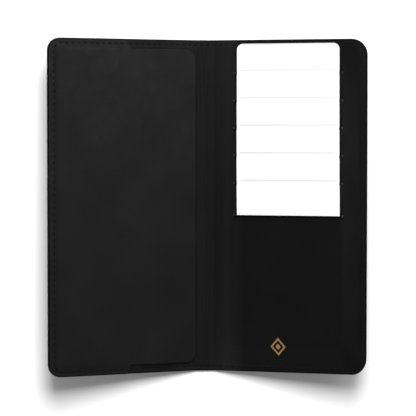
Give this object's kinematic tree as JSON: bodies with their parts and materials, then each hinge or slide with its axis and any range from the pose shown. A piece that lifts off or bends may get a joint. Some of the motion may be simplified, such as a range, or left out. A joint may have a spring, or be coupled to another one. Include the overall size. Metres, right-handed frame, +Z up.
{
  "type": "phone wallet case",
  "caption": "Long bifold leather wallet case: a pocket with a loose flap for a phone on one wing, a slotted panel of blank cards on the other.",
  "frame": {"origin": "centre of the spine's outer face, the face the open case stands on", "axes": "+X across the open case from the phone pocket to the cards, +Y along the spine towards the end the cards slide out of, +Z up out of the open case"},
  "size_m": [0.1642, 0.173, 0.0313],
  "materials": {
    "outer_leather": "satin",
    "inner_leather": "satin",
    "pocket_leather": "satin",
    "board": "matte",
    "lining": "matte",
    "thread": "matte",
    "card_plastic": "satin",
    "gold_foil": "satin"
  },
  "bodies": {
    "spine": {"spine_cover": "outer_leather", "spine_stiffener": "board", "spine_lining": "inner_leather", "spine_seam_top": "thread", "spine_seam_bottom": "thread"},
    "left_wing": {"left_cover": "outer_leather", "left_board": "board", "left_inner_leather": "inner_leather", "phone_pocket_panel": "pocket_leather", "phone_pocket_seam": "thread", "left_gutter_seam_top": "thread", "left_gutter_seam_bottom": "thread"},
    "pocket_flap": {"phone_pocket_flap": "pocket_leather"},
    "right_wing": {"right_cover": "outer_leather", "right_board": "board", "card_backing": "lining", "card_panel": "inner_leather", "card_divider_1": "lining", "card_divider_2": "lining", "card_divider_3": "lining", "card_divider_4": "lining", "card_divider_5": "lining", "foil_emblem": "gold_foil", "card_panel_seam": "thread"},
    "card_1_body": {"card_1": "card_plastic"},
    "card_2_body": {"card_2": "card_plastic"},
    "card_3_body": {"card_3": "card_plastic"},
    "card_4_body": {"card_4": "card_plastic"},
    "card_5_body": {"card_5": "card_plastic"},
    "card_6_body": {"card_6": "card_plastic"}
  },
  "joints": [
    {"name": "left_fold", "type": "hinge", "parent": "spine", "child": "left_wing", "pos_m": [-0.0047, 0, 0.0025], "axis": [0, -1, 0], "range_deg": [-71.6, 18.4]},
    {"name": "right_fold", "type": "hinge", "parent": "spine", "child": "right_wing", "pos_m": [0.0047, 0, 0.0025], "axis": [0, 1, 0], "range_deg": [-71.6, 18.4]},
    {"name": "flap_lift", "type": "hinge", "parent": "left_wing", "child": "pocket_flap", "pos_m": [-0.03903, 0, 0.01429], "axis": [0, -1, 0], "range_deg": [-1.6, 22], "stiffness_Nm_per_rad": 0.06},
    {"name": "card_1_slide", "type": "slide", "parent": "right_wing", "child": "card_1_body", "axis": [-0.0036, 0.9999, 0.0109], "range_m": [0, 0.075]},
    {"name": "card_2_slide", "type": "slide", "parent": "right_wing", "child": "card_2_body", "axis": [-0.0061, 0.9998, 0.0182], "range_m": [0, 0.075]},
    {"name": "card_3_slide", "type": "slide", "parent": "right_wing", "child": "card_3_body", "axis": [-0.0085, 0.9996, 0.0255], "range_m": [0, 0.075]},
    {"name": "card_4_slide", "type": "slide", "parent": "right_wing", "child": "card_4_body", "axis": [-0.0109, 0.9994, 0.0328], "range_m": [0, 0.075]},
    {"name": "card_5_slide", "type": "slide", "parent": "right_wing", "child": "card_5_body", "axis": [-0.0133, 0.9991, 0.0401], "range_m": [0, 0.075]},
    {"name": "card_6_slide", "type": "slide", "parent": "right_wing", "child": "card_6_body", "axis": [-0.0157, 0.9988, 0.0473], "range_m": [0, 0.075]}
  ]
}
